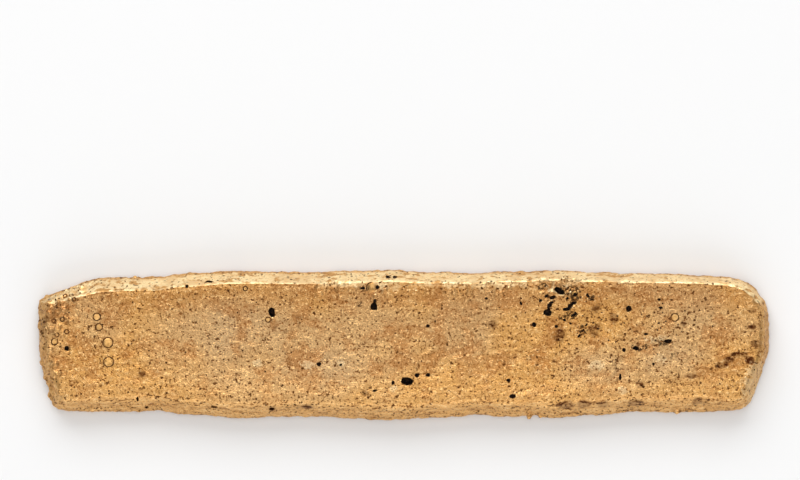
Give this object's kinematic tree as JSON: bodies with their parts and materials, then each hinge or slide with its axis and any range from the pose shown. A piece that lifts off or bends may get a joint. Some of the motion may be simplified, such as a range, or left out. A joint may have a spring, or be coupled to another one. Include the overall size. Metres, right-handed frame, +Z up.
{
  "type": "gold bar",
  "caption": "Hand-cast bar of gold, long and flat, with uneven rounded ends, drafted wavy sides, a slightly sunk upper face and open blowholes. It lies flat as stock to weigh, stack or melt.",
  "frame": {"origin": "centre of the bar's box on the face that it lies on", "axes": "+X along the bar towards its rounder end, +Y across it towards the side with the sloping shoulder, +Z up out of the upper face"},
  "size_m": [0.262, 0.054, 0.014],
  "materials": {
    "cast_gold": "satin"
  },
  "bodies": {
    "root": {"gold_bar": "cast_gold"}
  },
  "joints": []
}
